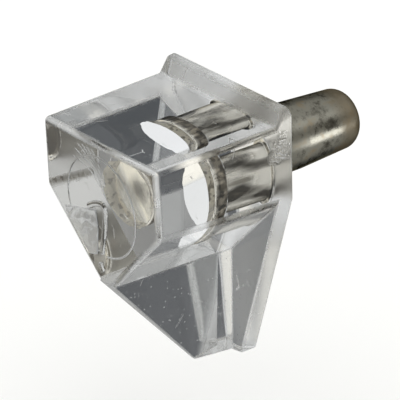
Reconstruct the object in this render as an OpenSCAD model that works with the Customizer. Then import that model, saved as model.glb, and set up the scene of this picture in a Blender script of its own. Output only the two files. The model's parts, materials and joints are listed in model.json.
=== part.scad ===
// Shelf support pin: a clear moulded bracket with a steel pin set into it.
// The origin is on the pin's axis at the plate's back face. +Y runs along the pin into the
// cabinet wall, +Z is up towards the shelf, and X is across the bracket.
// All sizes are in millimetres.

/* [View] */
// Piece to draw
// Smoothness of the round faces
facets = 96; // [24:8:160]

/* [Steel pin] */
// Diameter of the pin, which is the cabinet hole's nominal size
pin_d = 5; // [3:0.05:8]
// Length that stands out of the plate's back face
pin_out = 10.4; // [6:0.1:16]
// Length that is moulded into the block, from the plate's back face
pin_in = 5.3; // [3:0.1:9]
// Length of the full-width head on the moulded-in end
head_len = 1.15; // [0.5:0.05:3]
// Diameter of the waist behind the head, which keeps the pin from pulling out
waist_d = 4.2; // [2:0.05:7]
// Length of full-width shank that sits inside the plate
collar_in = 0.1; // [0.05:0.05:1.2]
// Length of the straight shank behind the plate, before the slow taper
shank_len = 5; // [1:0.1:9]
// Diameter at the end of the slow taper
taper_d = 4.5; // [2:0.05:7]
// Radius of the rounding on the pin's nose
nose_r = 1.15; // [0.2:0.05:2]
// Chamfer on the rim of the inner end
rim_chamfer = 0.35; // [0.05:0.05:1]
// Gap between the pin and the plastic moulded around it
pin_gap = 0; // [0:0.01:0.2]

/* [Block] */
// Width of the block at its front
front_w = 12.7; // [8:0.1:24]
// Length of the block from its front to the plate
block_len = 10.6; // [6:0.1:20]
// Height of the top face over the pin's axis, at the front
top_front = 4.47; // [3:0.01:10]
// Rise of the top face from the front to the plate
top_draft = 0.28; // [0:0.01:1]
// Height of the side faces' lower edges over the pin's axis, at the front
side_low = -0.79; // [-4:0.01:2]
// Drop of the slanted lower faces from the front to the plate
lower_draft = 0.47; // [0:0.01:1.5]
// Height of the narrow bottom of the block over the pin's axis
block_low = -6.35; // [-12:0.01:-3]
// Width of the narrow bottom of the block at its front
keel_w = 1.74; // [0.5:0.01:6]
// Lean of the front face, over its whole height
front_lean = 0.37; // [0:0.01:2]

/* [Back plate] */
// Width of the plate
plate_w = 13.1; // [8:0.1:24]
// Thickness of the plate
plate_t = 1.42; // [0.6:0.01:4]
// Height of the plate's lower end
plate_low = -14.45; // [-24:0.05:-8]
// Width of the plate at its lower end
plate_low_w = 4.4; // [2:0.1:12]
// Height of the lip over the block's top face
lip_h = 1.1; // [0.2:0.05:4]
// Distance that the lip's front slants back
lip_slant = 0.7; // [0:0.05:2]
// Fall of the lip's top from its back to the end of its slant
lip_fall = 0.1; // [0:0.01:0.6]
// Radius of the rounded upper corner on the +X side
corner_r = 1.1; // [0.2:0.1:3]

/* [Rib] */
// Thickness of the rib at its lower front corner
rib_tip_t = 0.4; // [0.2:0.05:3]
// Distance of the rib's lower front corner from the plate's back face
rib_tip_back = 4.05; // [2:0.05:9]
// Height of the rib's lower front corner over the pin's axis
rib_tip_z = -14.8; // [-24:0.05:-8]
// Thickness of the rib where it meets the plate, at the top
rib_root_top_t = 2.68; // [0.6:0.02:6]
// Thickness of the rib where it meets the plate, at the bottom
rib_root_low_t = 2.42; // [0.6:0.02:6]

/* [Hidden] */
$fn = facets;

pin_r = pin_d / 2;
waist_r = waist_d / 2;
taper_r = taper_d / 2;
nose_y = pin_out - nose_r;

front_y = -plate_t - block_len;
top_rear = top_front + top_draft;
lip_z = top_rear + lip_h;
rib_y = -rib_tip_back;

// Fall of the slanted lower faces for each millimetre towards the middle
lower_slope = (side_low - block_low) / ((front_w - keel_w) / 2);
lower_apex = side_low - lower_slope * front_w / 2;
lower_angle = atan(lower_draft / block_len);
// The plate starts to narrow where the block's side faces end
shoulder_z = side_low - lower_draft + lower_slope * (plate_w - front_w) / 2;

keel_y = front_y + front_lean;
// Depth that the block and the rib run into the plate, where they fuse with it
root_in = plate_t / 2;
root_y = -plate_t + root_in;
// Height that the rib runs up into the block, so that its flare ends inside
rib_top = block_low + (rib_root_top_t - keel_w) / 2 * lower_slope + root_in;

// Growth of the rib's half thickness over its front part
front_gy = (rib_root_top_t - keel_w) / 2 / (-plate_t - keel_y);
front_gz = ((rib_tip_t - keel_w) / 2 - front_gy * (rib_y - keel_y)) / (rib_tip_z - block_low);
// Growth of the rib's half thickness in the flare beside the plate
root_gz = (rib_root_top_t - rib_root_low_t) / 2 / (block_low - plate_low);
root_gy = ((rib_root_low_t - rib_tip_t) / 2 - root_gz * (plate_low - rib_tip_z)) / (-plate_t - rib_y);

// Size of the cutting prisms, larger than the whole part
big = 60;

// Extrudes an outline drawn in X and Z from y0 to y1.
module along_y(y0, y1)
    translate([0, y1, 0])
        rotate([90, 0, 0])
            linear_extrude(height = y1 - y0)
                children();

// Extrudes an outline drawn in Y and Z across the bracket, from -x to +x.
module along_x(x)
    rotate([90, 0, 90])
        translate([0, 0, -x])
            linear_extrude(height = 2 * x)
                children();

// Half outline of the pin: radius across, distance along the pin upwards.
module pin_profile(gap)
    union() {
        polygon([
            [0, -pin_in - gap],
            [pin_r - rim_chamfer + gap, -pin_in - gap],
            [pin_r + gap, -pin_in + rim_chamfer],
            [pin_r + gap, -pin_in + head_len + gap],
            [waist_r + gap, -pin_in + head_len + gap],
            [waist_r + gap, -collar_in - gap],
            [pin_r + gap, -collar_in - gap],
            [pin_r + gap, shank_len],
            [taper_r + gap, nose_y],
            [taper_r - nose_r + gap, pin_out],
            [0, pin_out]
        ]);
        // Rounding on the nose
        intersection() {
            translate([taper_r - nose_r + gap, nose_y])
                circle(r = nose_r);
            translate([0, nose_y])
                square([taper_r + gap, nose_r]);
        }
    }

// The whole pin, turned about the Y axis.
module pin_solid(gap)
    rotate([-90, 0, 0])
        rotate_extrude()
            pin_profile(gap);

// The block with its moulding draft on every side.
module block()
    intersection() {
        // Plan: wider towards the plate, with a narrowing root inside it
        translate([0, 0, -big / 2])
            linear_extrude(height = big)
                polygon([
                    [-front_w / 2, front_y],
                    [front_w / 2, front_y],
                    [plate_w / 2, -plate_t],
                    [plate_w / 2 - root_in, root_y],
                    [-plate_w / 2 + root_in, root_y],
                    [-plate_w / 2, -plate_t]
                ]);
        // Side view: top face that rises a little, front face that leans back
        along_x(big / 2)
            polygon([
                [front_y, top_front],
                [-plate_t, top_rear],
                [root_y, top_rear],
                [root_y, block_low],
                [keel_y, block_low]
            ]);
        // Slanted lower faces, dropping towards the plate
        translate([0, front_y, 0])
            rotate([-lower_angle, 0, 0])
                along_y(-big / 2, big / 2)
                    polygon([
                        [0, lower_apex],
                        [big / 2, lower_apex + lower_slope * big / 2],
                        [big / 2, big],
                        [-big / 2, big],
                        [-big / 2, lower_apex + lower_slope * big / 2]
                    ]);
    }

// The plate's outline from the back.
module plate_outline()
    polygon([
        [-plate_low_w / 2, plate_low],
        [plate_low_w / 2, plate_low],
        [plate_w / 2, shoulder_z],
        [plate_w / 2, lip_z],
        [-plate_w / 2, lip_z],
        [-plate_w / 2, shoulder_z]
    ]);

// The plate with the lip that stands over the block's top face.
module plate()
    difference() {
        intersection() {
            along_y(-plate_t, 0)
                plate_outline();
            along_x(big / 2)
                polygon([
                    [-plate_t, plate_low],
                    [0, plate_low],
                    [0, lip_z],
                    [-plate_t + lip_slant, lip_z - lip_fall],
                    [-plate_t, top_rear]
                ]);
        }
        // Upper corner rounded off on the +X side
        along_y(-plate_t * 2, plate_t)
            difference() {
                translate([plate_w / 2 - corner_r, lip_z - corner_r])
                    square(corner_r * 2);
                translate([plate_w / 2 - corner_r, lip_z - corner_r])
                    circle(r = corner_r);
            }
    }

// The rib's outline from the side, run a little into the plate and the block.
module rib_outline()
    polygon([
        [keel_y, block_low],
        [rib_y, rib_tip_z],
        [-plate_t, plate_low],
        [root_y, plate_low],
        [root_y, rib_top],
        [keel_y / 2, rib_top]
    ]);

// A wedge that is 2 * x0 thick at (y0, z0) and grows by gy and gz on each side for each millimetre.
module wedge(x0, y0, z0, gy, gz) {
    slope = sqrt(gy * gy + gz * gz);
    translate([0, y0, z0])
        rotate([atan2(gz, gy), 0, 0])
            translate([0, 0, -big])
                linear_extrude(height = 2 * big)
                    polygon([
                        [0, -x0 / slope],
                        [x0 + slope * big, big],
                        [-x0 - slope * big, big]
                    ]);
}

// The rib under the block: thin at its lower front corner, flared where it meets the plate.
module rib()
    intersection() {
        along_x(big / 2)
            rib_outline();
        union() {
            wedge(keel_w / 2, keel_y, block_low, front_gy, front_gz);
            wedge(rib_root_top_t / 2, -plate_t, block_low, root_gy, root_gz);
        }
    }

module bracket()
    color([0.86, 0.87, 0.88, 0.5])
        difference() {
            union() {
                block();
                plate();
                rib();
            }
            pin_solid(pin_gap);
        }

module pin()
    color([0.44, 0.43, 0.4])
        pin_solid(0);

bracket();
pin();
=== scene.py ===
"""Dresses the shelf support pin: a clear moulded bracket with a plated steel pin set into it."""

import json
import math

import bmesh
import bpy
from bpy.props import FloatProperty, IntProperty, PointerProperty, StringProperty
from mathutils import Matrix, Vector, geometry, noise


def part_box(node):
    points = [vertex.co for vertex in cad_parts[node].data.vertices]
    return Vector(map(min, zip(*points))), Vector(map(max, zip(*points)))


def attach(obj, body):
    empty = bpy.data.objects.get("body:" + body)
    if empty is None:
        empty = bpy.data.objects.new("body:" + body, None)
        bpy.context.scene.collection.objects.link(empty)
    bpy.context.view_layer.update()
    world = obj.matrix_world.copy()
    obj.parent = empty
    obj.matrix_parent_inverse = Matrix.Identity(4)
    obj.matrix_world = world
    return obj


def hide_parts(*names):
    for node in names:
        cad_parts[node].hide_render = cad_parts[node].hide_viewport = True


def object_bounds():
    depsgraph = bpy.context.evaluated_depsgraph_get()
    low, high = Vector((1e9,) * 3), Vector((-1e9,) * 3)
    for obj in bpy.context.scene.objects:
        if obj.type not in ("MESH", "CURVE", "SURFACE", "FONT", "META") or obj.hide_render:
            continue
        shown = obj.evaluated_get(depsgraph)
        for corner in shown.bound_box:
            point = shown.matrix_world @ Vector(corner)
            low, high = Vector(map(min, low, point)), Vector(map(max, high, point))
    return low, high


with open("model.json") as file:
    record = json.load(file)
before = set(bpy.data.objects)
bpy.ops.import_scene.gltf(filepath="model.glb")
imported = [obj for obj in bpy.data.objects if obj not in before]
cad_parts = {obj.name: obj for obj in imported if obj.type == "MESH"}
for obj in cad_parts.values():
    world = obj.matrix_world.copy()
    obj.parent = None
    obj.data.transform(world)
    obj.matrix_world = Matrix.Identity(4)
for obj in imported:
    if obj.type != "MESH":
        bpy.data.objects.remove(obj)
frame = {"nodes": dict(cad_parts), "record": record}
CAD_BOX = [list(corner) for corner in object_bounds()]

bl_info = {
    "name": "Shelf Support Pin",
    "version": (1, 0, 0),
    "blender": (4, 5, 0),
    "location": "View3D > Sidebar > Shelf Pin",
    "description": "Builds a clear moulded shelf support with its steel pin, and a small studio for it",
    "category": "Add Mesh",
}

MM = 0.001
BODY = "root"

# Corners closer than these are one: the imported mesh's split corners, its two halves, and repeats
CORNER_WELD = 0.04 * MM
HALVES_WELD = 0.002 * MM
REPEAT_WELD = 0.001 * MM
# Faces that bend less than this are one flat face
FLAT_WITHIN = math.radians(1)
# Edges that bend more than this are rounded on the bracket, and stay sharp on the pin
SHARP_FROM = math.radians(30)
# Other edges of the bracket turn sharp above this angle
SMOOTH_UP_TO = math.radians(13)
# A face looks along an axis when its normal's share along that axis is above this
FACING = 0.9
# The rib's edges lie this close to the middle and below this height, and the plate's edges behind
# this place
RIB_HALF = 1.5 * MM
RIB_TOP = -6 * MM
PLATE_FRONT = -1.5 * MM
# The plate's rounded corner lies this close to its side and to its top, and has this many flats
CORNER_SIDE = 0.01 * MM
CORNER_TOP = 0.2 * MM
CORNER_STEPS = 8
# Arc steps of a rounded edge of the bracket, and how strongly its flat faces keep their normals
EDGE_STEPS = 4
FLAT_WEIGHT = 100

# The socket's corners lie this close to the pin's surface, its end's corners this close to the
# pin's head, and its rim's corners this close
SOCKET_SLACK = 0.005 * MM
SOCKET_END = 0.01 * MM
SOCKET_RIM = 0.5 * MM
# How finely the air pocket's outline is torn, and how narrow its bulge is
POCKET_TEARS = 4
BULGE_POWER = 3

# The head's chamfer, arc steps of a rounded edge of the pin and of its nose, and the share of
# a side that an arc may take up
RIM_CHAMFER = 0.12 * MM
RIM_STEPS = 4
NOSE_STEPS = 12
ARC_SHARE = 0.45

# Steps across a ridge on the front face, and round the witness ring
RIDGE_STEPS = 6
RING_STEPS = 96
# A ridge's ends taper over this many points, down to this share of its width and height
TAPER_POINTS = 3
TIP_SHARE = 0.25
# Share of each side that is cut off at a path's corners
CORNER_CUT = 0.25
# Torn facets: size in millimetres, columns and rows, unevenness as a share of the size, how near
# two corners may lie in millimetres, and how far the closed shape runs into the block
SCAR_FACET = 0.36
SCAR_GRID = (11, 12)
SCAR_UNEVEN = 0.3
SCAR_WELD = 0.001
SCAR_ROOT = 0.4 * MM
# How far the flow lines bow, as a share of their length, and where they start, as a share of the
# way to the bow
FLOW_BOW = 0.16
FLOW_LEAD = 0.4
NOISE_SEED = 7

# Places of the finishes in the bracket's material list, and in that of the marks on its front
WORN = 1
CRAZED = 2
TORN = 1
CLEAR_IOR = 1.58

LIGHT_BOUNCES = 24
FLOOR_RADIUS = 3.0
FLOOR_STEPS = 96
CAMERA_RANGE = (0.01, 10.0)
# Azimuth and elevation of the strip light in degrees, and its strength
STRIP_HEADING = (47, -12)
STRIP_STRENGTH = 5.6

# Colour of the backdrop and of the strip light, and the backdrop's strength
PALE_HEX = "#FFFFFF"
PALE_STRENGTH = 1.22
# The room as the plastic and the metal see it: a pale base, then soft round areas laid over it.
# Each is azimuth and elevation of its middle, inner and outer angle, colour, strength. The angles
# are in degrees.
ROOM_HEX = "#DCDCDA"
ROOM_AREAS = (
    (0, 0, 58, 84, "#ABABA9", 1.0),
    (45, 14, 10, 22, "#6E6C66", 1.0),
    (44, 42, 8, 18, "#E4E4E2", 1.0),
    (308, -15, 8, 26, "#56585B", 1.0),
    (350, -52, 12, 20, "#505356", 1.0),
    (308, 24, 4, 16, "#6E6F71", 1.0),
    (322, -46, 5, 11, "#FFFFFF", 1.0),
    (244, 26, 8, 30, "#FFFFFF", 1.1),
    (205, -52, 10, 32, "#FFFFFF", 1.0),
    (232, -25, 10, 28, "#FFFAEE", 1.1),
)

# Marks that the mould and the gate leave on the front face, in millimetres across and up from
# the pin's axis. The ring is the edge of a round insert, the stub is the end of the runner, twisted
# off, the drip hangs below it, the scar is where it tore, and the flow lines fan out from it.
RING_MIDDLE = (-0.02, -0.37)
RING_RADIUS = 3.79
RING_TURN = (-108, 178)
STUB_PATH = ((-1.6, -0.85), (-0.7, -0.3), (0.15, -0.1), (0.45, -0.5), (0.2, -2.2), (-0.3, -4.15))
DRIP_PATH = ((-0.5, -4.85), (-0.4, -5.2), (-0.2, -5.5))
SCAR_OUTLINE = (
    (-4.4, -1.75), (-2.4, -1.25), (-0.7, -0.85), (-0.55, -2.4), (-0.8, -4.3), (-1.7, -4.6), (-3.4, -3.0))
FLOW_START = (0.55, 0.5)
FLOW_ENDS = ((-3.0, 2.6), (-2.75, 3.25), (-2.4, 3.75), (-1.9, 3.85), (-1.35, 3.85), (-0.8, 3.85))

# Middle of the rubbed patch on the plate's side, and ends of the scratch on the rib, in
# millimetres from the frame's origin
SCUFF_PLACE = (6.55, -1.0, 3.15)
SCRATCH_ENDS = ((0.66, -5.34, -10.57), (0.52, -5.97, -11.52))

# The pin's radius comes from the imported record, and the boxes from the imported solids
PIN_MOUNT = next(m for m in frame["record"]["mounts"] if m["kind"] == "pin")
PIN_RADIUS = PIN_MOUNT["dims"]["r_mm"] * MM
PIN_LOW, PIN_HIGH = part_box("pin")
BRACKET_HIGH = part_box("bracket")[1]


def linear(code):
    """Turns an sRGB hex colour such as #8090A0 into linear RGBA."""
    shares = [int(code.lstrip("#")[i : i + 2], 16) / 255 for i in (0, 2, 4)]
    return [c / 12.92 if c <= 0.04045 else ((c + 0.055) / 1.055) ** 2.4 for c in shares] + [1.0]


def add_node(tree, kind, inputs=None, stops=(), out=0, **settings):
    """Adds a node, sets its properties, and sets each named input to a value or links it to a
    socket. Stops are a colour ramp's places and hex colours. Returns the first output, or the
    one that out names."""
    node = tree.nodes.new(kind)
    for index, (place, code) in enumerate(stops):
        elements = node.color_ramp.elements
        stop = elements[index] if index < len(elements) else elements.new(place)
        stop.position = place
        stop.color = linear(code)
    for name, value in settings.items():
        setattr(node, name, value)
    for key, value in (inputs or {}).items():
        if isinstance(value, bpy.types.NodeSocket):
            tree.links.new(value, node.inputs[key])
        else:
            node.inputs[key].default_value = value
    return node.outputs[out] if node.outputs else None


def new_tree(name):
    """Makes a material with an empty node tree."""
    material = bpy.data.materials.new(name)
    material.use_nodes = True
    material.node_tree.nodes.clear()
    return material, material.node_tree


def add_object(name, bm):
    """Turns a bmesh into a named object in the scene."""
    mesh = bpy.data.meshes.new(name)
    bm.to_mesh(mesh)
    bm.free()
    made = bpy.data.objects.new(name, mesh)
    bpy.context.scene.collection.objects.link(made)
    return made


def settle(made):
    """Puts the result of an object's modifiers into its mesh."""
    context = bpy.context
    whole = bpy.data.meshes.new_from_object(made.evaluated_get(context.evaluated_depsgraph_get()))
    made.modifiers.clear()
    made.data = whole
    if not whole.polygons:
        raise RuntimeError(f"{made.name} came out empty")


# ---- settings


class ShelfPinBracketSettings(bpy.types.PropertyGroup):
    edge_radius: FloatProperty(
        name="Edge radius", description="Rounding of the block's outer edges",
        default=0.42 * MM, min=0.05 * MM, max=0.8 * MM, precision=5, unit="LENGTH")
    plate_edge: FloatProperty(
        name="Plate edges", description="Rounding of the plate's edges, as a share of the edge radius",
        default=0.45, min=0.05, max=1.0, subtype="FACTOR")
    rib_edge: FloatProperty(
        name="Rib edges", description="Rounding of the thin rib's edges, as a share of the edge radius",
        default=0.22, min=0.05, max=1.0, subtype="FACTOR")
    inner_corner: FloatProperty(
        name="Inner corners", description="Fillet of the inner corners, as a share of the edge radius",
        default=0.3, min=0.05, max=1.0, subtype="FACTOR")
    corner_radius: FloatProperty(
        name="Corner radius", description="Rounding of the plate's one round upper corner",
        default=0.75 * MM, min=0.2 * MM, max=3 * MM, precision=5, unit="LENGTH")
    contact: FloatProperty(
        name="Contact", description="How far the socket's wall lies inside the pin's surface",
        default=0.01 * MM, min=0.001 * MM, max=0.05 * MM, precision=6, unit="LENGTH")
    pocket: FloatProperty(
        name="Air pocket", description="Depth of the thin air pocket in front of the pin's head",
        default=0.57 * MM, min=0.05 * MM, max=2 * MM, precision=5, unit="LENGTH")
    pocket_lean: FloatProperty(
        name="Pocket lean", description="How much deeper the pocket is at its top than at its middle",
        default=0.12 * MM, min=0.0, max=0.5 * MM, precision=5, unit="LENGTH")
    pocket_bulge: FloatProperty(
        name="Pocket bulge", description="How far the pocket reaches past the pin on the -X side",
        default=0.5 * MM, min=0.0, max=1 * MM, precision=5, unit="LENGTH")
    pocket_ragged: FloatProperty(
        name="Pocket raggedness", description="How unevenly the pocket's outline tore",
        default=0.2 * MM, min=0.0, max=0.5 * MM, precision=5, unit="LENGTH")
    ring_width: FloatProperty(
        name="Witness ring width", description="Width of the fine ring that the mould's insert leaves",
        default=0.15 * MM, min=0.02 * MM, max=0.5 * MM, precision=5, unit="LENGTH")
    stub_width: FloatProperty(
        name="Gate stub width", description="Width of the stub that the gate leaves",
        default=0.5 * MM, min=0.1 * MM, max=1 * MM, precision=5, unit="LENGTH")
    stub_height: FloatProperty(
        name="Gate stub height", description="How far the gate's stub stands out",
        default=0.16 * MM, min=0.02 * MM, max=0.4 * MM, precision=5, unit="LENGTH")
    scar_height: FloatProperty(
        name="Scar height", description="How far the torn facets beside the stub stand out",
        default=0.14 * MM, min=0.02 * MM, max=0.4 * MM, precision=5, unit="LENGTH")
    flow_width: FloatProperty(
        name="Flow line width", description="Width of the flow lines that fan out from the gate",
        default=0.11 * MM, min=0.02 * MM, max=0.5 * MM, precision=5, unit="LENGTH")
    gloss_roughness: FloatProperty(
        name="Gloss", description="Roughness of the polished faces",
        default=0.02, min=0.0, max=1.0, subtype="FACTOR")
    matt_roughness: FloatProperty(
        name="Matt", description="Roughness of the back face, the air pocket's wall and the nibs",
        default=0.35, min=0.0, max=1.0, subtype="FACTOR")
    worn_roughness: FloatProperty(
        name="Worn", description="Roughness of the scuffed rounded edges and the torn facets",
        default=0.34, min=0.0, max=1.0, subtype="FACTOR")
    plastic_hex: StringProperty(
        name="Plastic", description="sRGB colour of the clear plastic", default="#F7F9FA")
    # The crazed colour is partly painted glints, and the gap colour is painted shade
    crazed_and_glint_hex: StringProperty(
        name="Crazed plastic", description="sRGB colour of the crazed wall of the air pocket and of its painted glints",
        default="#E6DECA")
    gap_shade_hex: StringProperty(
        name="Gaps", description="sRGB colour of the painted shade in the gaps of that wall", default="#6E6656")


class ShelfPinSteelSettings(bpy.types.PropertyGroup):
    steps: IntProperty(
        name="Steps", description="Facets round the pin", default=160, min=24, max=256)
    rim_chamfer: FloatProperty(
        name="Rim chamfer", description="Chamfer on the head's rim",
        default=RIM_CHAMFER, min=0.05 * MM, max=1 * MM, precision=5, unit="LENGTH")
    head_length: FloatProperty(
        name="Head", description="Length of the full-width head inside the plastic",
        default=1.15 * MM, min=0.5 * MM, max=3 * MM, precision=5, unit="LENGTH")
    waist_radius: FloatProperty(
        name="Waist radius", description="Radius of the waist behind the head",
        default=2.1 * MM, min=1 * MM, max=2.45 * MM, precision=5, unit="LENGTH")
    collar: FloatProperty(
        name="Collar", description="Length of full-width shank inside the plate",
        default=0.1 * MM, min=0.05 * MM, max=1.2 * MM, precision=5, unit="LENGTH")
    straight: FloatProperty(
        name="Straight length", description="Length of the straight shank behind the plate",
        default=5 * MM, min=1 * MM, max=9 * MM, precision=5, unit="LENGTH")
    taper_radius: FloatProperty(
        name="Taper radius", description="Radius at the end of the slow taper",
        default=2.25 * MM, min=1 * MM, max=2.5 * MM, precision=5, unit="LENGTH")
    nose_radius: FloatProperty(
        name="Nose radius", description="Rounding of the nose",
        default=1.15 * MM, min=0.2 * MM, max=2 * MM, precision=5, unit="LENGTH")
    rim_round: FloatProperty(
        name="Rim rounding", description="Rounding that tumbling leaves on the turned edges",
        default=0.1 * MM, min=0.01 * MM, max=0.3 * MM, precision=5, unit="LENGTH")
    bright_hex: StringProperty(
        name="Bright nickel", description="sRGB colour of the plating that the plastic protects",
        default="#EEEAE0")
    # This colour also paints the dark reflection bands under the plastic
    shade_hex: StringProperty(
        name="Dark reflection bands", description="sRGB colour of the painted dark reflection bands on the plating",
        default="#504C44")
    head_hex: StringProperty(
        name="Head", description="sRGB colour of the browner band round the head", default="#A0988A")
    end_spot_hex: StringProperty(
        name="End spot", description="sRGB colour of the darker spot near the middle of the parted end",
        default="#6E6C66")
    bright_roughness: FloatProperty(
        name="Bright roughness", description="Roughness of the plating that the plastic protects",
        default=0.1, min=0.0, max=1.0, subtype="FACTOR")
    dull_hex: StringProperty(
        name="Dulled nickel", description="sRGB colour of the plating in the open", default="#B4B2A6")
    bloom_hex: StringProperty(
        name="Bloom", description="sRGB colour of the tan bloom on the open plating", default="#B9AA90")
    # A dark tint at grazing angles, which paints shade along the pin's outline
    edge_shade_hex: StringProperty(
        name="Edge shade tint", description="sRGB tint that darkens the metal at a grazing angle, a painted shade on its outline", default="#5A5850")
    pit_hex: StringProperty(
        name="Pits", description="sRGB colour of the dark pits and stains", default="#625F56")
    nose_hex: StringProperty(
        name="Rubbed nose", description="sRGB colour of the rubbed nose", default="#988B74")
    # Painted shade on the open pin close to the plate
    plate_shade_hex: StringProperty(
        name="Plate shade", description="sRGB colour of the painted shade on the open pin close to the plate", default="#62605A")


class ShelfPinStageSettings(bpy.types.PropertyGroup):
    azimuth: FloatProperty(
        name="Azimuth", description="Camera's angle round the part, from the front",
        default=math.radians(51.61), subtype="ANGLE")
    elevation: FloatProperty(
        name="Elevation", description="Camera's angle above the horizon",
        default=math.radians(25.39), subtype="ANGLE")
    roll: FloatProperty(
        name="Roll", description="Camera's turn about its own line of sight",
        default=math.radians(-1.14), subtype="ANGLE")
    distance: FloatProperty(
        name="Distance", description="Camera's distance from the part's middle",
        default=0.3459, unit="LENGTH")
    lens: FloatProperty(
        name="Lens", description="Camera's focal length in millimetres",
        default=438.5, min=20.0, unit="CAMERA")
    aim_right: FloatProperty(
        name="Aim right", description="How far right of the part's middle the camera aims",
        default=-1.86 * MM, precision=5, unit="LENGTH")
    aim_up: FloatProperty(
        name="Aim up", description="How far above the part's middle the camera aims",
        default=1.09 * MM, precision=5, unit="LENGTH")
    floor_drop: FloatProperty(
        name="Floor drop", description="Distance from the part's lowest point to the floor",
        default=6 * MM, unit="LENGTH")
    strip_distance: FloatProperty(
        name="Strip distance", description="Distance of the strip light from the open pin",
        default=0.12, unit="LENGTH")
    strip_length: FloatProperty(
        name="Strip length", description="Length of the strip light", default=0.022, unit="LENGTH")
    strip_width: FloatProperty(
        name="Strip width", description="Width of the strip light", default=0.034, unit="LENGTH")
    floor_hex: StringProperty(
        name="Floor", description="sRGB colour of the floor", default="#F4F4F2")


# ---- bracket


def is_socket(vert):
    """True for the corners of the socket that holds the pin."""
    return math.hypot(vert.co.x, vert.co.z) < PIN_RADIUS + SOCKET_SLACK


def is_round_corner(point):
    """True for the two ends of the plate's upper edge on the +X side."""
    return point.x > BRACKET_HIGH.x - CORNER_SIDE and point.z > BRACKET_HIGH.z - CORNER_TOP


def rounding_share(edge, settings):
    """Share of the edge radius that an edge of the bracket gets."""
    if len(edge.link_faces) != 2 or any(is_socket(v) for v in edge.verts):
        return 0.0
    angle = edge.calc_face_angle_signed()
    if abs(angle) < SHARP_FROM:
        return 0.0
    if angle < 0:
        return settings.inner_corner
    if all(abs(v.co.x) < RIB_HALF and v.co.z < RIB_TOP for v in edge.verts):
        return settings.rib_edge
    if all(v.co.y > PLATE_FRONT for v in edge.verts):
        return settings.plate_edge
    return 1.0


def bracket_mesh(settings):
    """The bracket's shell, with its flat faces whole again and rounding weights on its edges."""
    bm = bmesh.new()
    bm.from_mesh(frame["nodes"]["bracket"].data)
    bmesh.ops.remove_doubles(bm, verts=bm.verts, dist=CORNER_WELD)
    # Both halves are alike but for the rounded corner, so the square half is doubled
    bmesh.ops.bisect_plane(
        bm, geom=bm.verts[:] + bm.edges[:] + bm.faces[:], plane_co=(0, 0, 0), plane_no=(1, 0, 0),
        clear_outer=True, dist=REPEAT_WELD)
    bmesh.ops.mirror(
        bm, geom=bm.verts[:] + bm.edges[:] + bm.faces[:], axis="X", merge_dist=HALVES_WELD)
    bmesh.ops.recalc_face_normals(bm, faces=bm.faces)
    bmesh.ops.dissolve_limit(bm, angle_limit=FLAT_WITHIN, verts=bm.verts[:], edges=bm.edges[:])
    # The rounded corner comes back as an even fan
    corner = [e for e in bm.edges if all(is_round_corner(v.co) for v in e.verts)]
    bmesh.ops.bevel(
        bm, geom=corner, offset=settings.corner_radius, segments=CORNER_STEPS, profile=0.5,
        affect="EDGES", clamp_overlap=False)
    bm.normal_update()
    weights = bm.edges.layers.float.new("bevel_weight_edge")
    for edge in bm.edges:
        edge[weights] = rounding_share(edge, settings)
    for edge in bm.edges:
        edge.smooth = edge[weights] > 0 or edge.calc_face_angle(0) < SMOOTH_UP_TO
    for face in bm.faces:
        face.smooth = True
        at_head = all(is_socket(v) and v.co.y < PIN_LOW.y + SOCKET_RIM for v in face.verts)
        if at_head and abs(face.normal.y) < FACING:
            face.material_index = CRAZED
    fit_socket(bm, settings)
    return bm


def fit_socket(bm, settings):
    """Fits the socket round the pin. Its wall goes just inside the metal, so light in the plastic
    meets the metal directly, and its end stands off the pin's head by a thin pocket of air."""
    for vert in [v for v in bm.verts if is_socket(v)]:
        shift = vert.normal * settings.contact
        if vert.co.y > -settings.contact:
            shift.y = 0
        if vert.co.y < PIN_LOW.y + SOCKET_END:
            out = Vector((vert.co.x, 0, vert.co.z)).normalized()
            ragged = settings.pocket_ragged * noise.noise(out * POCKET_TEARS)
            bulge = settings.pocket_bulge * max(0, -out.x) ** BULGE_POWER
            vert.co = out * (PIN_RADIUS + ragged + bulge)
            # The end is a third as uneven as the outline
            vert.co.y = PIN_LOW.y - settings.pocket - settings.pocket_lean * out.z - ragged / 3
        elif vert.co.y < PIN_LOW.y + SOCKET_RIM:
            vert.co.y = PIN_LOW.y + RIM_CHAMFER
            vert.co += Vector((shift.x, 0, shift.z))
        else:
            vert.co += shift


def on_front(place, height):
    """A point over the front face: millimetres across and up, and metres that it stands out."""
    forward = [f for f in frame["nodes"]["bracket"].data.polygons if f.normal.y < -FACING]
    face = max(forward, key=lambda f: f.area)
    x, z = place[0] * MM, place[1] * MM
    y = face.center.y - (z - face.center.z) * face.normal.z / face.normal.y
    return Vector((x, y, z)) + face.normal * height


def smooth_path(path, rounds=3):
    """Rounds a path's corners by cutting them off, in several rounds."""
    points = [Vector(point) for point in path]
    for _ in range(rounds):
        cut = [points[0]]
        for start, end in zip(points, points[1:]):
            cut += [start.lerp(end, CORNER_CUT), start.lerp(end, 1 - CORNER_CUT)]
        points = cut + [points[-1]]
    return points


def add_ridge(bm, path, width, height):
    """Adds a low round ridge along a path over the front face, as deep inside it as it stands out.
    Its ends taper off."""
    rings = []
    last = len(path) - 1
    for index, point in enumerate(path):
        along = path[min(index + 1, last)] - path[max(index - 1, 0)]
        share = min(1, TIP_SHARE + (1 - TIP_SHARE) * min(index, last - index) / TAPER_POINTS)
        across = along.normalized().orthogonal() * share * width / MM / 2
        ring = [on_front(point + across, -height), on_front(point - across, -height)]
        for step in range(RIDGE_STEPS + 1):
            angle = math.pi * step / RIDGE_STEPS
            ring.append(on_front(point - across * math.cos(angle), height * share * math.sin(angle)))
        rings.append([bm.verts.new(corner) for corner in ring])
    for near, far in zip(rings, rings[1:]):
        for k in range(len(near)):
            bm.faces.new((near[k - 1], near[k], far[k], far[k - 1]))
    bm.faces.new(rings[0])
    bm.faces.new(list(reversed(rings[-1])))


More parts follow.
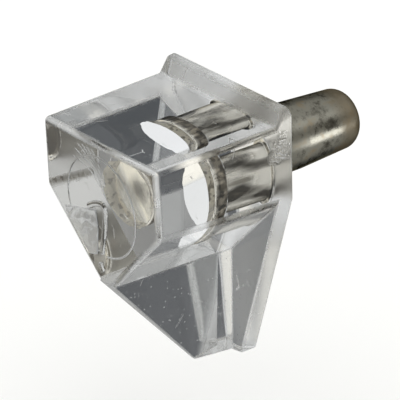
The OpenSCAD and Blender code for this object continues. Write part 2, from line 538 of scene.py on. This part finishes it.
def add_scar(bm, settings):
    """Adds the small torn facets between the stub and the front face's slanted edge."""
    outline = [Vector(point) for point in SCAR_OUTLINE]
    places = list(outline)
    columns, rows = SCAR_GRID
    for across in range(-columns, 0):
        for up in range(-rows, 0):
            place = Vector((across, up)) * SCAR_FACET
            place += noise.random_unit_vector(size=2) * SCAR_FACET * SCAR_UNEVEN
            places.append(place)
    border = [(k, (k + 1) % len(outline)) for k in range(len(outline))]
    # Output type 1 keeps only the triangles inside the outline
    places, _, triangles, *_ = geometry.delaunay_2d_cdt(places, border, [], 1, SCAR_WELD)
    tops = [bm.verts.new(on_front(p, settings.scar_height * noise.random())) for p in places]
    made = [bm.faces.new([tops[k] for k in triangle]) for triangle in triangles]
    for face in made:
        face.material_index = TORN
    below = bmesh.ops.extrude_face_region(bm, geom=made, use_keep_orig=True)["geom"]
    for vert in [v for v in below if isinstance(v, bmesh.types.BMVert)]:
        vert.co.y += SCAR_ROOT


def front_marks_mesh(settings):
    """The ring, the stub with its drip, the scar and the flow lines, as closed shapes."""
    noise.seed_set(NOISE_SEED)
    bm = bmesh.new()
    start, end = RING_TURN
    turns = [math.radians(start + (end - start) * step / RING_STEPS) for step in range(RING_STEPS + 1)]
    ring = [Vector(RING_MIDDLE) + Vector((math.sin(t), math.cos(t))) * RING_RADIUS for t in turns]
    add_ridge(bm, ring, settings.ring_width, settings.ring_width / 2)
    add_ridge(bm, smooth_path(STUB_PATH), settings.stub_width, settings.stub_height)
    add_ridge(bm, smooth_path(DRIP_PATH), settings.stub_width, settings.stub_height)
    for end in FLOW_ENDS:
        # Each line starts where it is clear of its neighbours
        first, end = Vector(FLOW_START), Vector(end)
        bow = (first + end) / 2 - (end - first).orthogonal() * FLOW_BOW
        path = smooth_path((first.lerp(bow, FLOW_LEAD), bow, end))
        add_ridge(bm, path, settings.flow_width, settings.flow_width / 3)
    add_scar(bm, settings)
    bmesh.ops.recalc_face_normals(bm, faces=bm.faces)
    for face in bm.faces:
        face.smooth = face.material_index != TORN
    return bm


def end_in_plastic(tree, colour, roughness, bump, clearness=1.0):
    """Ends a material in polycarbonate, which is the same resin under each of its finishes."""
    shader = add_node(tree, "ShaderNodeBsdfPrincipled", {
        "Base Color": colour, "Transmission Weight": clearness, "IOR": CLEAR_IOR,
        "Roughness": roughness, "Normal": bump})
    add_node(tree, "ShaderNodeOutputMaterial", {"Surface": shader})


def polycarbonate_material(settings):
    """Clear polycarbonate, injection moulded.

    A hard clear resin with a high index, so edges and corners throw strong internal reflections.
    Polished steel moulded it glossy, with faint flow lines. The back face is matt from a spark-eroded
    insert, and so is the air pocket's wall, where the resin shrank: they look pale and blur what
    lies behind them."""
    material, tree = new_tree("clear_polycarbonate_moulded")
    place = add_node(tree, "ShaderNodeTexCoord", out="Object")
    along = add_node(tree, "ShaderNodeSeparateXYZ", {"Vector": place}, out="Y")
    up = add_node(tree, "ShaderNodeSeparateXYZ", {"Vector": place}, out="Z")
    # Flow lines: slow waves about 2 mm apart
    flow = add_node(tree, "ShaderNodeTexNoise", {"Vector": place, "Scale": 1 / (2 * MM), "Detail": 2.0})
    bump = add_node(tree, "ShaderNodeBump", {"Height": flow, "Strength": 0.1, "Distance": 0.02 * MM})
    # Nibs: tiny rough dots up to 0.13 mm across and about 0.5 mm apart, mostly low on the rib
    nibs = add_node(tree, "ShaderNodeTexVoronoi", {"Vector": place, "Scale": 1 / (0.5 * MM)})
    nib_shape = add_node(tree, "ShaderNodeMapRange", {"Value": nibs, "From Min": 0.13, "From Max": 0.06})
    lowness = add_node(tree, "ShaderNodeMapRange", {
        "Value": up, "From Min": -5 * MM, "From Max": -8 * MM, "To Min": 0.05})
    on_nib = add_node(tree, "ShaderNodeMath", {0: nib_shape, 1: lowness}, operation="MULTIPLY")
    # Scratches: long fine lines where large cells meet, broken up by the flow waves
    cells = add_node(tree, "ShaderNodeTexVoronoi", {
        "Vector": place, "Scale": 1 / (5 * MM)}, feature="DISTANCE_TO_EDGE")
    on_line = add_node(tree, "ShaderNodeMapRange", {"Value": cells, "From Min": 0.008, "From Max": 0.002})
    broken = add_node(tree, "ShaderNodeMapRange", {"Value": flow, "From Min": 0.63, "From Max": 0.66})
    hairline = add_node(tree, "ShaderNodeMath", {0: on_line, 1: broken}, operation="MULTIPLY")
    # One deeper scratch on the rib, about 0.1 mm wide, which fades out at its ends
    start, end = (Vector(spot) * MM for spot in SCRATCH_ENDS)
    from_start = add_node(tree, "ShaderNodeVectorMath", {0: place, 1: start}, operation="SUBTRACT")
    off_line = add_node(tree, "ShaderNodeVectorMath", {
        0: from_start, 1: (end - start).normalized()}, operation="CROSS_PRODUCT")
    aside = add_node(tree, "ShaderNodeVectorMath", {0: off_line}, operation="LENGTH", out="Value")
    across_scratch = add_node(tree, "ShaderNodeMapRange", {
        "Value": aside, "From Min": 0.06 * MM, "From Max": 0.03 * MM})
    from_middle = add_node(tree, "ShaderNodeVectorMath", {
        0: place, 1: (start + end) / 2}, operation="DISTANCE", out="Value")
    along_scratch = add_node(tree, "ShaderNodeMapRange", {
        "Value": from_middle, "From Min": (end - start).length * 0.55,
        "From Max": (end - start).length * 0.4})
    deep = add_node(tree, "ShaderNodeMath", {0: across_scratch, 1: along_scratch}, operation="MULTIPLY")
    damaged = on_nib
    for scratch in (hairline, deep):
        damaged = add_node(tree, "ShaderNodeMath", {0: damaged, 1: scratch}, operation="MAXIMUM")
    # Scuff: one rubbed patch of grains about 0.2 mm across on the plate's +X side, raggedly bordered
    grains = add_node(tree, "ShaderNodeTexNoise", {
        "Vector": place, "Scale": 1 / (0.2 * MM), "Detail": 1.0})
    from_scuff = add_node(tree, "ShaderNodeVectorMath", {
        0: place, 1: [side * MM for side in SCUFF_PLACE]}, operation="DISTANCE", out="Value")
    ragged = add_node(tree, "ShaderNodeMath", {
        0: flow, 1: 3 * MM, 2: from_scuff}, operation="MULTIPLY_ADD")
    scuffed = add_node(tree, "ShaderNodeMapRange", {
        "Value": ragged, "From Min": 2.7 * MM, "From Max": 1.9 * MM, "To Max": 15.0})
    scuff = add_node(tree, "ShaderNodeMath", {0: grains, 1: scuffed}, operation="MULTIPLY")
    marked = add_node(tree, "ShaderNodeMath", {0: damaged, 1: scuff}, operation="ADD")
    bump = add_node(tree, "ShaderNodeBump", {
        "Height": marked, "Strength": 0.7, "Distance": 0.03 * MM, "Normal": bump})
    at_back = add_node(tree, "ShaderNodeMapRange", {
        "Value": along, "From Min": -0.04 * MM, "From Max": -0.02 * MM})
    # The pocket's wall is the only surface near the pin's axis between these two places
    sideways = add_node(tree, "ShaderNodeVectorMath", {
        0: place, 1: (1.0, 0.0, 1.0)}, operation="MULTIPLY")
    off_axis = add_node(tree, "ShaderNodeVectorMath", {0: sideways}, operation="LENGTH", out="Value")
    on_wall = add_node(tree, "ShaderNodeMath", {
        0: off_axis, 1: PIN_RADIUS + settings.pocket_bulge + 0.1 * MM}, operation="LESS_THAN")
    for reach, test in ((PIN_LOW.y + 0.05 * MM, "LESS_THAN"), (PIN_LOW.y - 0.4 * MM, "GREATER_THAN")):
        within = add_node(tree, "ShaderNodeMath", {0: along, 1: reach}, operation=test)
        on_wall = add_node(tree, "ShaderNodeMath", {0: on_wall, 1: within}, operation="MULTIPLY")
    # The mould is polished less finely round the lip and low on the rib
    on_lip = add_node(tree, "ShaderNodeMapRange", {
        "Value": up, "From Min": 4.75 * MM, "From Max": 4.95 * MM, "To Max": 0.6})
    on_rib = add_node(tree, "ShaderNodeMapRange", {
        "Value": up, "From Min": -5 * MM, "From Max": -7 * MM, "To Max": 0.2})
    matt = at_back
    for part in (on_wall, damaged, on_lip, on_rib):
        matt = add_node(tree, "ShaderNodeMath", {0: matt, 1: part}, operation="MAXIMUM")
    rough = add_node(tree, "ShaderNodeMapRange", {
        "Value": matt, "To Min": settings.gloss_roughness, "To Max": settings.matt_roughness})
    end_in_plastic(tree, linear(settings.plastic_hex), rough, bump)
    return material


def crazed_material(settings):
    """The same polycarbonate round the air pocket, where it tore away from the hot pin's end.

    It is crazed nearly right through, so it looks cream rather than clear. Its cream beads and dark gaps
    are also a painted highlight and painted shade: glints along the pocket's rim and the shade between
    them."""
    material, tree = new_tree("clear_polycarbonate_crazed")
    place = add_node(tree, "ShaderNodeTexCoord", out="Object")
    # Crazing: cells about 0.3 mm across
    craze = add_node(tree, "ShaderNodeTexVoronoi", {"Vector": place, "Scale": 1 / (0.3 * MM)})
    bump = add_node(tree, "ShaderNodeBump", {"Height": craze, "Strength": 0.4, "Distance": 0.05 * MM})
    # It tore in cream beads about 0.4 mm long, with dark gaps between them. The beads are also painted
    # glints along the rim, and the gaps are painted shade.
    beads = add_node(tree, "ShaderNodeTexNoise", {
        "Vector": place, "Scale": 1 / (0.4 * MM), "Detail": 1.0})
    beads_and_glints = add_node(tree, "ShaderNodeValToRGB", {"Fac": beads}, stops=(
        (0.36, settings.gap_shade_hex), (0.48, settings.crazed_and_glint_hex)))
    end_in_plastic(tree, beads_and_glints, settings.matt_roughness, bump, clearness=0.25)
    return material


def torn_material(settings):
    """The same polycarbonate where the gate tore off.

    The torn facets are finely crazed, so they look white and sparkle."""
    material, tree = new_tree("clear_polycarbonate_torn")
    place = add_node(tree, "ShaderNodeTexCoord", out="Object")
    # Crazing: cells about 0.15 mm across
    craze = add_node(tree, "ShaderNodeTexVoronoi", {"Vector": place, "Scale": 1 / (0.15 * MM)})
    bump = add_node(tree, "ShaderNodeBump", {"Height": craze, "Strength": 0.6, "Distance": 0.04 * MM})
    end_in_plastic(tree, linear(settings.plastic_hex), settings.worn_roughness, bump, clearness=0.8)
    return material


def worn_edge_material(settings):
    """The same polycarbonate on its rounded edges, which tumbling and handling have scuffed.

    Fine scratches scatter the light, so the edges look like soft pale bands."""
    material, tree = new_tree("clear_polycarbonate_worn")
    place = add_node(tree, "ShaderNodeTexCoord", out="Object")
    # Scuffs: patches about 0.8 mm long, some left glossy
    scuffs = add_node(tree, "ShaderNodeTexNoise", {
        "Vector": place, "Scale": 1 / (0.8 * MM), "Detail": 3.0})
    rough = add_node(tree, "ShaderNodeMapRange", {
        "Value": scuffs, "From Min": 0.3, "From Max": 0.5, "To Min": settings.gloss_roughness * 4,
        "To Max": settings.worn_roughness})
    bump = add_node(tree, "ShaderNodeBump", {"Height": scuffs, "Strength": 0.2, "Distance": 0.02 * MM})
    end_in_plastic(tree, linear(settings.plastic_hex), rough, bump)
    return material


class SHELFPIN_OT_bracket(bpy.types.Operator):
    """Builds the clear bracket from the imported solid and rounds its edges"""

    bl_idname = "shelfpin.bracket"
    bl_label = "Clear bracket"

    def execute(self, context):
        settings = context.scene.shelf_pin_bracket
        made = add_object("bracket_clear", bracket_mesh(settings))
        for finish in (polycarbonate_material, worn_edge_material, crazed_material):
            made.data.materials.append(finish(settings))
        bevel = made.modifiers.new("edge_rounding", "BEVEL")
        bevel.limit_method = "WEIGHT"
        bevel.width = settings.edge_radius
        bevel.segments = EDGE_STEPS
        bevel.use_clamp_overlap = False
        bevel.material = WORN
        marks = add_object("front_marks", front_marks_mesh(settings))
        marks.data.materials.append(made.data.materials[0])
        marks.data.materials.append(torn_material(settings))
        joined = made.modifiers.new("front_marks", "BOOLEAN")
        joined.operation = "UNION"
        joined.solver = "EXACT"
        joined.use_self = True
        joined.material_mode = "TRANSFER"
        joined.object = marks
        # Flat faces keep flat normals right up to their rounded edges
        flat = made.modifiers.new("flat_faces", "WEIGHTED_NORMAL")
        flat.mode = "FACE_AREA"
        flat.weight = FLAT_WEIGHT
        flat.keep_sharp = True
        settle(made)
        bpy.data.objects.remove(marks)
        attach(made, BODY)
        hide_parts("bracket")
        return {"FINISHED"}


# ---- pin


def rounded_corner(before, corner, after, radius):
    """Points of an arc of that radius in place of a corner of an outline."""
    to_before, to_after = (before - corner).normalized(), (after - corner).normalized()
    half = to_before.angle(to_after) / 2
    room = ARC_SHARE * min((before - corner).length, (after - corner).length)
    reach = min(radius / math.tan(half), room)
    heart = corner + (to_before + to_after).normalized() * reach / math.cos(half)
    start, end = corner + to_before * reach - heart, corner + to_after * reach - heart
    shares = [step / RIM_STEPS for step in range(RIM_STEPS + 1)]
    # slerp gives unit vectors
    return [heart + start.slerp(end, share) * start.length for share in shares]


def pin_outline(settings):
    """Half outline of the pin from its head to its nose, as points of radius and place along Y."""
    radius, head, nose = PIN_RADIUS, PIN_LOW.y, PIN_HIGH.y
    corners = [
        (0, head),
        (radius - settings.rim_chamfer, head),
        (radius, head + settings.rim_chamfer),
        (radius, head + settings.head_length),
        (settings.waist_radius, head + settings.head_length),
        (settings.waist_radius, -settings.collar),
        (radius, -settings.collar),
        (radius, settings.straight),
        (settings.taper_radius, nose - settings.nose_radius),
    ]
    corners = [Vector(corner) for corner in corners]
    outline = corners[:1]
    for before, corner, after in zip(corners, corners[1:], corners[2:]):
        outline += rounded_corner(before, corner, after, settings.rim_round)
    heart = Vector((settings.taper_radius - settings.nose_radius, nose - settings.nose_radius))
    for step in range(NOSE_STEPS + 1):
        angle = math.radians(90) * step / NOSE_STEPS
        outline.append(heart + Vector((math.cos(angle), math.sin(angle))) * settings.nose_radius)
    return outline + [Vector((0, nose))]


def turned_mesh(outline, steps):
    """Turns a half outline about the Y axis."""
    bm = bmesh.new()
    verts = [bm.verts.new((point.x, point.y, 0)) for point in outline]
    edges = [bm.edges.new(pair) for pair in zip(verts, verts[1:])]
    bmesh.ops.spin(
        bm, geom=verts + edges, cent=(0, 0, 0), axis=(0, 1, 0), angle=math.radians(360),
        steps=steps, use_merge=True)
    bmesh.ops.remove_doubles(bm, verts=bm.verts, dist=REPEAT_WELD)
    bmesh.ops.recalc_face_normals(bm, faces=bm.faces)
    for face in bm.faces:
        face.smooth = True
    for edge in bm.edges:
        edge.smooth = edge.calc_face_angle(0) < SHARP_FROM
    return bm


def nickel_material(settings):
    """Nickel-plated steel, turned.

    Under the plastic the plating stays smooth, so it mirrors the room, and dark and pale bands are
    painted into its colour as well, as a painted reflection, with its top and bottom painted paler as a
    painted highlight. In the open it has dulled to a warm grey, with tan bloom, dark pits and soft
    highlights, painted shade near the plate, and a dark tint at grazing angles that paints shade along
    its outline."""
    material, tree = new_tree("nickel_plated_steel_turned")
    place = add_node(tree, "ShaderNodeTexCoord", out="Object")
    along = add_node(tree, "ShaderNodeSeparateXYZ", {"Vector": place}, out="Y")
    up = add_node(tree, "ShaderNodeSeparateXYZ", {"Vector": place}, out="Z")
    in_open = add_node(tree, "ShaderNodeMapRange", {
        "Value": along, "From Min": -0.1 * MM, "From Max": 0.1 * MM})
    # Bloom: soft patches about 1.3 mm across, with finer ones inside them
    bloom = add_node(tree, "ShaderNodeTexNoise", {
        "Vector": place, "Scale": 1 / (1.3 * MM), "Detail": 6.0, "Roughness": 0.7})
    patches = add_node(tree, "ShaderNodeValToRGB", {"Fac": bloom}, stops=(
        (0.32, settings.pit_hex), (0.5, settings.dull_hex),
        (0.54, settings.dull_hex), (0.66, settings.bloom_hex)))
    # Pits: dark specks about 0.3 mm across
    specks = add_node(tree, "ShaderNodeTexNoise", {
        "Vector": place, "Scale": 1 / (0.3 * MM), "Detail": 2.0})
    pitted = add_node(tree, "ShaderNodeMapRange", {
        "Value": specks, "From Min": 0.6, "From Max": 0.72, "To Max": 0.35})
    # Painted shade: the open pin darkens over its last few millimetres before the plate
    plate_shade = add_node(tree, "ShaderNodeMapRange", {
        "Value": along, "From Min": 5 * MM, "From Max": 0.5 * MM, "To Max": 0.72})
    # The nose is browner, with a ragged border, where it rubbed on its way into holes
    wavy = add_node(tree, "ShaderNodeMath", {0: bloom, 1: 2.5 * MM, 2: along}, operation="MULTIPLY_ADD")
    on_nose = add_node(tree, "ShaderNodeMapRange", {
        "Value": wavy, "From Min": 8.9 * MM, "From Max": 10 * MM, "To Max": 0.7})
    opened = patches
    for share, code in (
            (pitted, settings.pit_hex), (plate_shade, settings.plate_shade_hex), (on_nose, settings.nose_hex)):
        opened = add_node(tree, "ShaderNodeMixRGB", {
            "Fac": share, "Color1": opened, "Color2": linear(code)})
    # Painted reflection: streaks along the pin, about 1.3 mm apart, painted dark and pale into the
    # metal's colour, with a painted highlight that makes most of the top and the bottom pale
    stretched = add_node(tree, "ShaderNodeVectorMath", {
        0: place, 1: (1.0, 0.28, 1.0)}, operation="MULTIPLY")
    band_noise = add_node(tree, "ShaderNodeTexNoise", {
        "Vector": stretched, "Scale": 1 / (1.3 * MM), "Detail": 1.5})
    from_middle = add_node(tree, "ShaderNodeMath", {0: up}, operation="ABSOLUTE")
    painted_top_bottom_light = add_node(tree, "ShaderNodeMapRange", {
        "Value": from_middle, "From Min": 0.8 * MM, "From Max": 1.7 * MM, "To Max": 0.14})
    band_light = add_node(tree, "ShaderNodeMath", {0: band_noise, 1: painted_top_bottom_light}, operation="ADD")
    streaks = add_node(tree, "ShaderNodeValToRGB", {"Fac": band_light}, stops=(
        (0.47, settings.shade_hex), (0.6, settings.bright_hex)))
    # The head is browner, but for its pale rim, and mottled in patches about 0.5 mm across
    head_end = PIN_LOW.y + settings.head_length
    on_head = add_node(tree, "ShaderNodeMapRange", {
        "Value": along, "From Min": head_end, "From Max": head_end - 0.08 * MM})
    off_rim = add_node(tree, "ShaderNodeMapRange", {
        "Value": along, "From Min": PIN_LOW.y + 0.15 * MM, "From Max": PIN_LOW.y + 0.45 * MM})
    brown = add_node(tree, "ShaderNodeMath", {0: on_head, 1: off_rim}, operation="MULTIPLY")
    mottle = add_node(tree, "ShaderNodeTexNoise", {
        "Vector": place, "Scale": 1 / (0.5 * MM), "Detail": 1.0})
    mottled = add_node(tree, "ShaderNodeValToRGB", {"Fac": mottle}, stops=(
        (0.38, settings.shade_hex), (0.56, settings.head_hex)))
    # The parted end in the air pocket stays bright, but for a darker spot near its middle
    on_end = add_node(tree, "ShaderNodeMapRange", {
        "Value": along, "From Min": PIN_LOW.y + 0.15 * MM, "From Max": PIN_LOW.y + 0.1 * MM})
    from_end_spot = add_node(tree, "ShaderNodeVectorMath", {
        0: place, 1: (0.25 * MM, PIN_LOW.y, 0.2 * MM)}, operation="DISTANCE", out="Value")
    end_spot = add_node(tree, "ShaderNodeMapRange", {
        "Value": from_end_spot, "From Min": 1.3 * MM, "From Max": 0.3 * MM})
    parted = add_node(tree, "ShaderNodeMixRGB", {
        "Fac": end_spot, "Color1": linear(settings.bright_hex), "Color2": linear(settings.end_spot_hex)})
    colour = streaks
    for share, over in ((brown, mottled), (on_end, parted), (in_open, opened)):
        colour = add_node(tree, "ShaderNodeMixRGB", {"Fac": share, "Color1": colour, "Color2": over})
    # Bloom scatters light: 0.24 to 0.38 rough in the open, and nearer 0.5 on the rubbed nose
    bloomed = add_node(tree, "ShaderNodeMapRange", {
        "Value": bloom, "From Min": 0.35, "From Max": 0.7, "To Min": 0.24, "To Max": 0.38})
    rubbed = add_node(tree, "ShaderNodeMix", {"Factor": on_nose, "A": bloomed, "B": 0.5})
    rough = add_node(tree, "ShaderNodeMix", {
        "Factor": in_open, "A": settings.bright_roughness, "B": rubbed})
    # The specks dent the surface by a few micrometres
    bump = add_node(tree, "ShaderNodeBump", {"Height": specks, "Strength": 0.2, "Distance": 0.01 * MM})
    # The dark grazing tint paints shade along the pin's outline
    shader = add_node(tree, "ShaderNodeBsdfPrincipled", {
        "Base Color": colour, "Metallic": 1.0, "Roughness": rough,
        "Specular Tint": linear(settings.edge_shade_hex), "Normal": bump})
    add_node(tree, "ShaderNodeOutputMaterial", {"Surface": shader})
    return material


class SHELFPIN_OT_pin(bpy.types.Operator):
    """Turns the steel pin with its head, waist and nose, and plates it"""

    bl_idname = "shelfpin.pin"
    bl_label = "Steel pin"

    def execute(self, context):
        settings = context.scene.shelf_pin_steel
        made = add_object("pin_turned", turned_mesh(pin_outline(settings), settings.steps))
        made.data.materials.append(nickel_material(settings))
        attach(made, BODY)
        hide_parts("pin")
        return {"FINISHED"}


# ---- stage


def add_camera(settings, middle):
    """Places the camera on its orbit and makes it the scene's camera."""
    back = Vector((
        math.sin(settings.azimuth) * math.cos(settings.elevation),
        -math.cos(settings.azimuth) * math.cos(settings.elevation),
        math.sin(settings.elevation)))
    turn = (-back).to_track_quat("-Z", "Y").to_matrix() @ Matrix.Rotation(settings.roll, 3, "Z")
    data = bpy.data.cameras.new("camera")
    data.lens = settings.lens
    data.clip_start, data.clip_end = CAMERA_RANGE
    camera = bpy.data.objects.new("camera", data)
    aim = middle + turn @ Vector((settings.aim_right, settings.aim_up, 0))
    camera.matrix_world = Matrix.Translation(aim + back * settings.distance) @ turn.to_4x4()
    bpy.context.scene.collection.objects.link(camera)
    bpy.context.scene.camera = camera


def add_floor(settings, low):
    """A wide pale floor below the part. Mirrored and refracted light doesn't see it."""
    bm = bmesh.new()
    bmesh.ops.create_circle(bm, cap_ends=True, radius=FLOOR_RADIUS, segments=FLOOR_STEPS)
    floor = add_object("floor", bm)
    floor.location.z = low.z - settings.floor_drop
    floor.visible_glossy = False
    floor.visible_transmission = False
    material, tree = new_tree("pale_paper_sweep")
    shader = add_node(tree, "ShaderNodeBsdfPrincipled", {
        "Base Color": linear(settings.floor_hex), "Roughness": 0.9, "Specular IOR Level": 0.0})
    add_node(tree, "ShaderNodeOutputMaterial", {"Surface": shader})
    floor.data.materials.append(material)


def heading(azimuth, elevation):
    """Direction from the part: azimuth 0 is +Y, 90 is +X, in degrees."""
    a, e = math.radians(azimuth), math.radians(elevation)
    return Vector((math.sin(a) * math.cos(e), math.cos(a) * math.cos(e), math.sin(e)))


def add_strip(settings):
    """A narrow strip light for the soft highlight along the open pin. Only mirrored light sees it."""
    # A square with sides of 1, which is scaled below
    bm = bmesh.new()
    bmesh.ops.create_grid(bm, x_segments=1, y_segments=1, size=0.5)
    strip = add_object("strip_light", bm)
    towards = heading(*STRIP_HEADING)
    strip.matrix_world = (
        Matrix.Translation(Vector((0, PIN_HIGH.y / 2, 0)) + towards * settings.strip_distance)
        @ (-towards).to_track_quat("Z", "Y").to_matrix().to_4x4()
        @ Matrix.Diagonal((settings.strip_length, settings.strip_width, 1, 1)))
    for ray in ("camera", "diffuse", "transmission", "shadow"):
        setattr(strip, "visible_" + ray, False)
    material, tree = new_tree("lit_paper_strip")
    light = add_node(tree, "ShaderNodeEmission", {"Color": linear(PALE_HEX), "Strength": STRIP_STRENGTH})
    add_node(tree, "ShaderNodeOutputMaterial", {"Surface": light})
    strip.data.materials.append(material)


def add_world():
    """Pale to the camera and to diffuse light. The clear plastic and the metal see a pale room
    with soft dark and bright areas, which give them their contrast."""
    world = bpy.data.worlds.new("studio")
    bpy.context.scene.world = world
    world.use_nodes = True
    tree = world.node_tree
    tree.nodes.clear()
    to_camera = add_node(tree, "ShaderNodeLightPath", out="Is Camera Ray")
    diffuse = add_node(tree, "ShaderNodeLightPath", out="Is Diffuse Ray")
    towards = add_node(tree, "ShaderNodeTexCoord", out="Generated")
    room = linear(ROOM_HEX)
    for azimuth, elevation, inner, outer, code, strength in ROOM_AREAS:
        cosine = add_node(tree, "ShaderNodeVectorMath", {
            0: towards, 1: heading(azimuth, elevation)}, operation="DOT_PRODUCT", out="Value")
        share = add_node(tree, "ShaderNodeMapRange", {
            "Value": cosine, "From Min": math.cos(math.radians(outer)),
            "From Max": math.cos(math.radians(inner))}, interpolation_type="SMOOTHSTEP")
        colour = [channel * strength for channel in linear(code)[:3]] + [1.0]
        room = add_node(tree, "ShaderNodeMixRGB", {"Fac": share, "Color1": room, "Color2": colour})
    seen = add_node(tree, "ShaderNodeBackground", {"Color": room, "Strength": 1.0})
    pale = add_node(tree, "ShaderNodeBackground", {"Color": linear(PALE_HEX), "Strength": PALE_STRENGTH})
    plain = add_node(tree, "ShaderNodeMath", {0: to_camera, 1: diffuse}, operation="MAXIMUM")
    mix = add_node(tree, "ShaderNodeMixShader", {0: plain, 1: seen, 2: pale})
    add_node(tree, "ShaderNodeOutputWorld", {"Surface": mix})


class SHELFPIN_OT_stage(bpy.types.Operator):
    """Sets the floor, the soft studio light and the camera"""

    bl_idname = "shelfpin.stage"
    bl_label = "Studio"

    def execute(self, context):
        settings = context.scene.shelf_pin_stage
        low, high = (Vector(corner) for corner in CAD_BOX)
        middle = (low + high) / 2
        add_world()
        add_strip(settings)
        add_floor(settings, low)
        add_camera(settings, middle)
        context.scene.view_settings.view_transform = "Standard"
        # Light in the block reflects many times before it leaves
        for limit in ("max_bounces", "glossy_bounces", "transmission_bounces"):
            setattr(context.scene.cycles, limit, LIGHT_BOUNCES)
        return {"FINISHED"}


# ---- panel and registration


class SHELFPIN_PT_panel(bpy.types.Panel):
    """Lists the pieces and their sizes"""

    bl_label = "Shelf Support Pin"
    bl_idname = "SHELFPIN_PT_panel"
    bl_space_type = "VIEW_3D"
    bl_region_type = "UI"
    bl_category = "Shelf Pin"

    def draw(self, context):
        for place, _, operator in SECTIONS:
            box = self.layout.box()
            box.operator(operator.bl_idname)
            settings = getattr(context.scene, place)
            for name in settings.__annotations__:
                box.prop(settings, name)


# Each section's place on the scene, its settings and its operator
SECTIONS = (
    ("shelf_pin_bracket", ShelfPinBracketSettings, SHELFPIN_OT_bracket),
    ("shelf_pin_steel", ShelfPinSteelSettings, SHELFPIN_OT_pin),
    ("shelf_pin_stage", ShelfPinStageSettings, SHELFPIN_OT_stage),
)
CLASSES = (*(cls for section in SECTIONS for cls in section[1:]), SHELFPIN_PT_panel)


def register():
    for cls in CLASSES:
        bpy.utils.register_class(cls)
    for place, settings, _ in SECTIONS:
        setattr(bpy.types.Scene, place, PointerProperty(type=settings))


def unregister():
    for place, _, _ in SECTIONS:
        delattr(bpy.types.Scene, place)
    for cls in reversed(CLASSES):
        bpy.utils.unregister_class(cls)


def main():
    register()
    bpy.ops.shelfpin.bracket()
    bpy.ops.shelfpin.pin()
    bpy.ops.shelfpin.stage()


if __name__ == "__main__":
    main()
